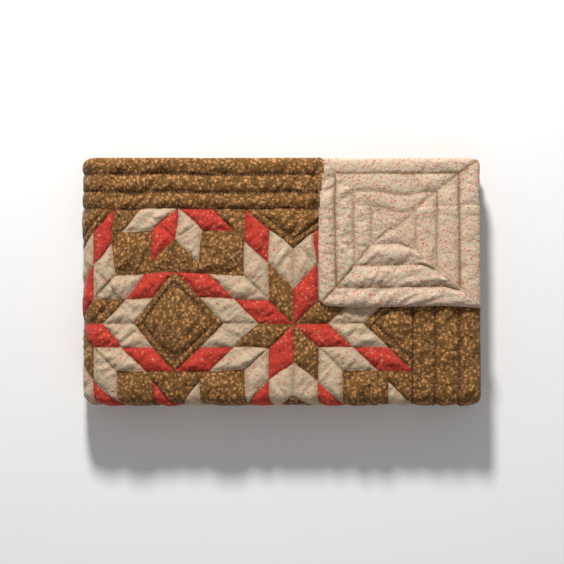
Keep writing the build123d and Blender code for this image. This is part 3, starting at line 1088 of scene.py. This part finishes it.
class QUILT_OT_turned_corner(bpy.types.Operator):
    """Make the corner of the top leaf that is turned down, backing upwards"""

    bl_idname = "quilt.turned_corner"
    bl_label = "Turned Corner"

    def execute(self, context):
        shop = Workshop.get()
        patchwork = shop.patchwork
        cell = sizes().fine_cell
        wide, deep = 260 * MM, 250 * MM
        panel = flat_panel(RIGHT_EDGE - wide, RIGHT_EDGE, END_EDGE - deep, END_EDGE, cell)
        cut(panel, panel.faces[:], RIDGE_POINT.xy, -RIDGE_OUT.xy, cell * 0.3, clear=True)
        keys, marks = piece_together(panel, patchwork, cell)
        leaf = sizes().leaf
        def rolled(u, v):
            """The border rolls over widest at the ridge, and not at all 90 mm further on."""
            return END_EDGE - v < 9 * MM * (1 - (u - RIDGE_POINT.x) / (90 * MM))

        corner_depth = past_ridge(RIGHT_EDGE, END_EDGE)
        mirrored = Vector((RIGHT_EDGE, END_EDGE, 0)) - RIDGE_OUT * (2 * corner_depth)
        # The ridge takes up some cloth and the turned corner stretches on the bias as it lies down
        strain = Vector((CORNER_LOW.x - 5 * MM, CORNER_LOW.y + 5.5 * MM, 0)) - mirrored

        def lay(u, v, pieced):
            drift_u, drift_v, height = shop.loft.heights(u, v, pieced, 0 if pieced else 1)
            stray_u, stray_v = wander(u, v)
            hold = smooth(past_ridge(u, v) / RIDGE_HOLD)
            u, v = rounded_corner(patchwork, u, v)
            u += (drift_u + stray_u) * hold
            v += (drift_v + stray_v) * hold
            depth = past_ridge(u, v)
            turned = Vector((u, v, 0)) - RIDGE_OUT * (2 * depth)
            turned += strain * (depth / corner_depth)
            # The right part of the corner creeps as far as the outer end of the ridge does
            pull = ridge_pull(u, v)
            spread = smooth(depth / (16 * MM)) * smooth((turned.x - 90 * MM) / (150 * MM))
            turned.y += pull + (RIDGE_CREEP - pull) * spread
            turned.z = 2 * RIDGE_POINT.z - (BUNDLE_TOP - leaf / 2 + height)
            return turned

        shop.lays["turned_corner"] = lay
        piece = finish_pad("turned_corner", panel, keys, lay, marks, rolled)
        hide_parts("turned_corner_backing", "turned_corner_batting", "turned_corner_pieced_top")
        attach(piece, "turned_corner")
        return {"FINISHED"}


class QUILT_OT_corner_ridge(bpy.types.Operator):
    """Make the bend of cloth along the ridge of the turned corner"""

    bl_idname = "quilt.corner_ridge"
    bl_label = "Corner Ridge"

    def execute(self, context):
        shop, own = Workshop.get(), sizes()
        along, out = RIDGE_ALONG, RIDGE_OUT
        first = (END_EDGE - RIDGE_POINT.y) / along.y
        last = (RIGHT_EDGE - RIDGE_POINT.x) / along.x
        middle = own.pitch / 2
        # The bend reaches about 0.6 of the pitch of the leaves out beyond the ridge
        flat = 0.6 * own.pitch / (middle + own.leaf / 2)
        panel = flat_panel(0, math.pi * middle, first, last, own.fine_cell)
        panel.faces.layers.int.new("patch")
        cloth_layer = panel.faces.layers.int.new("cloth")
        for f in panel.faces:
            f[cloth_layer] = BROWN

        def marks(around, way, pieced):
            """Painted shade lies on the bend, darkest along its outermost line."""
            return 0.7 * math.sin(around / middle)

        def lay(around, way, pieced):
            turn = around / middle
            share = (way - first) / (last - first)
            on_line = RIDGE_POINT + along * way
            free = 0 if pieced else (1 + math.cos(turn)) / 2
            height = shop.loft.heights(on_line.x, on_line.y, pieced, free)[2]
            radius = middle - height
            ripple = 0.75 + 0.6 * noise.noise(Vector((way * 26, 0.2, 5.5)))
            reach = flat * radius * math.sin(turn) * ripple
            low = first + reach * out.y / -along.y
            high = last - reach * out.x / along.x
            place = RIDGE_POINT + along * (low + (high - low) * share) + out * reach
            place.z = RIDGE_POINT.z + radius * math.cos(turn)
            place.y += ridge_pull(on_line.x, on_line.y)
            return place

        def rolled(around, way):
            """The border rolls over at the ridge's end on the sewn edge."""
            return way - first < 7 * MM

        piece = finish_pad("corner_ridge", panel, ["ridge"], lay, marks, rolled)
        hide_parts("corner_fold_backing", "corner_fold_batting", "corner_fold_pieced_top")
        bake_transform(piece)
        return {"FINISHED"}


# The stitches stop short of the side fold and of the front bend by these distances
FOLD_BARE = 45 * MM
BEND_BARE = 22 * MM


def quilting_runs(patchwork):
    """The hand quilted lines of the top leaf, as (start, end) pairs in flat coordinates."""
    runs = []
    for share in CHANNEL_LINES:
        u = patchwork.right - share * patchwork.side_border
        v = patchwork.top - share * patchwork.end_border
        runs.append(((patchwork.middle_u + FOLD_BARE, v), (u, v)))
        runs.append(((u, v), (u, -END_EDGE + BEND_BARE)))
    for across in range(3):
        for down in range((across + 1) % 2, 3, 2):
            centre_u = patchwork.seam_right - across * patchwork.block_width / 2
            centre_v = patchwork.seam_top - down * patchwork.block_length / 2
            reach_u = (2 * HALF - ECHO_INSET) * patchwork.side_u
            reach_v = (2 * HALF - ECHO_INSET) * patchwork.side_v
            tips = [(centre_u + reach_u, centre_v), (centre_u, centre_v + reach_v),
                    (centre_u - reach_u, centre_v), (centre_u, centre_v - reach_v)]
            runs += list(zip(tips, tips[1:] + tips[:1]))
    return runs


class QUILT_OT_stitches(bpy.types.Operator):
    """Sew the running stitches along the border channels and inside the squares on point"""

    bl_idname = "quilt.stitches"
    bl_label = "Quilting Stitches"

    def execute(self, context):
        top = self.sew("top_leaf_stitches", "upper_half", "top_leaf", True, -1)
        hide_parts("border_quilting_thread")
        self.sew("second_leaf_stitches", "upper_half", "second_leaf", False, 1)
        self.sew("turned_corner_stitches", "turned_corner", "turned_corner", False, 1)
        return {"FINISHED"}

    def sew(self, name, body, cloth, pieced, beyond):
        """Sew one leaf, where it shows: beyond is 1 past the ridge of the turned corner and -1 before it."""
        shop = Workshop.get()
        ends = shop.patchwork.top + shop.patchwork.bottom
        lay = shop.lays[cloth]
        own = sizes()
        thread = bmesh.new()
        for start, end in quilting_runs(shop.patchwork):
            start, end = Vector(start), Vector(end)
            count = max(int((end - start).length / own.stitch), 1)
            for number in range(count):
                ahead = start.lerp(end, (number + 0.75) / count)
                behind = start.lerp(end, (number + 0.25) / count)
                middle = (ahead + behind) / 2
                past = past_ridge(*middle) * beyond
                if past < RIDGE_BARE or not field_holds(shop.patchwork, start, middle):
                    continue
                if cloth == "second_leaf":
                    ahead.y, behind.y = ends - ahead.y, ends - behind.y
                tip, tail = lay(*ahead, pieced), lay(*behind, pieced)
                run = tip - tail
                place = Matrix.Translation((tip + tail) / 2 + Vector((0, 0, own.thread)))
                turn = run.to_track_quat("X", "Z").to_matrix().to_4x4()
                size = Matrix.Diagonal((run.length / 2, own.thread, own.thread, 1))
                bmesh.ops.create_uvsphere(thread, u_segments=6, v_segments=4, radius=1,
                                          matrix=place @ turn @ size)
        for f in thread.faces:
            f.smooth = True
        piece = link_piece(name, thread, [waxed_cotton_thread()])
        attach(piece, body)
        return piece


def field_holds(patchwork, start, point):
    """Whether a stitch lies flat on the top leaf, and on the same side of the border seam as its run."""
    if point.x < patchwork.middle_u + FOLD_BARE or point.y < -END_EDGE + BEND_BARE:
        return False
    in_border = patchwork.border_share(*point)[0] < 1
    return in_border or patchwork.border_share(start.x, start.y - MM)[0] > 0.99


class QUILT_OT_stage(bpy.types.Operator):
    """Lay the floor, set the lights, and place the camera straight above the quilt"""

    bl_idname = "quilt.stage"
    bl_label = "Stage"

    def execute(self, context):
        scene = context.scene
        floor = bmesh.new()
        bmesh.ops.create_grid(floor, x_segments=1, y_segments=1, size=3)
        # Paper sweep: matt white paper, so the eye reads a plain studio floor
        paper = bpy.data.materials.new("white_paper_sweep")
        paper.use_nodes = True
        shader = paper.node_tree.nodes["Principled BSDF"]
        shader.inputs["Base Color"].default_value = opaque(colours().floor)
        shader.inputs["Roughness"].default_value = 0.9
        link_piece("floor", floor, [paper])
        self.lamp(scene, "key", (-0.3, 2.4, 1.62), 0.42, 108)
        self.lamp(scene, "fill", (0.8, -1.2, 2.6), 2.2, 5)
        world = bpy.data.worlds.new("studio")
        world.use_nodes = True
        world.node_tree.nodes["Background"].inputs["Color"].default_value = (1, 1, 1, 1)
        world.node_tree.nodes["Background"].inputs["Strength"].default_value = 0.28
        scene.world = world
        scene.view_settings.view_transform = "Standard"
        camera = bpy.data.cameras.new("camera")
        camera.sensor_width = 36
        above, view_width = 3.2, 0.842
        camera.lens = camera.sensor_width * above / view_width
        camera.clip_end = 20
        holder = bpy.data.objects.new("camera", camera)
        holder.location = (1.5 * MM, 0, BUNDLE_TOP + above)
        scene.collection.objects.link(holder)
        scene.camera = holder
        return {"FINISHED"}

    def lamp(self, scene, name, place, size, power):
        """A round lamp that points at the middle of the quilt."""
        light = bpy.data.lights.new(name, "AREA")
        light.shape = "DISK"
        light.size = size
        light.energy = power
        holder = bpy.data.objects.new(name, light)
        holder.location = place
        holder.rotation_euler = (-Vector(place)).to_track_quat("-Z", "Y").to_euler()
        scene.collection.objects.link(holder)


class QUILT_PT_panel(bpy.types.Panel):
    """Sidebar panel with the quilt's settings and pieces"""

    bl_idname = "QUILT_PT_panel"
    bl_label = "Folded Quilt"
    bl_space_type = "VIEW_3D"
    bl_region_type = "UI"
    bl_category = "Quilt"

    def draw(self, context):
        for group in (context.scene.quilt_sizes, context.scene.quilt_colours):
            for name in group.bl_rna.properties.keys():
                if name not in {"rna_type", "name"}:
                    self.layout.prop(group, name)
        for operator in OPERATORS:
            self.layout.operator(operator.bl_idname)


OPERATORS = (
    QUILT_OT_stage,
    QUILT_OT_upper_half,
    QUILT_OT_lower_half,
    QUILT_OT_side_fold,
    QUILT_OT_turned_corner,
    QUILT_OT_corner_ridge,
    QUILT_OT_stitches,
)
CLASSES = (QuiltSizes, QuiltColours, *OPERATORS, QUILT_PT_panel)


def register():
    for each in CLASSES:
        bpy.utils.register_class(each)
    bpy.types.Scene.quilt_sizes = bpy.props.PointerProperty(type=QuiltSizes)
    bpy.types.Scene.quilt_colours = bpy.props.PointerProperty(type=QuiltColours)


def unregister():
    del bpy.types.Scene.quilt_colours
    del bpy.types.Scene.quilt_sizes
    for each in reversed(CLASSES):
        bpy.utils.unregister_class(each)


def main():
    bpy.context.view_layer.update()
    register()
    bpy.ops.quilt.stage()
    bpy.ops.quilt.upper_half()
    bpy.ops.quilt.lower_half()
    bpy.ops.quilt.side_fold()
    bpy.ops.quilt.turned_corner()
    bpy.ops.quilt.corner_ridge()
    bpy.ops.quilt.stitches()


if __name__ == "__main__":
    main()
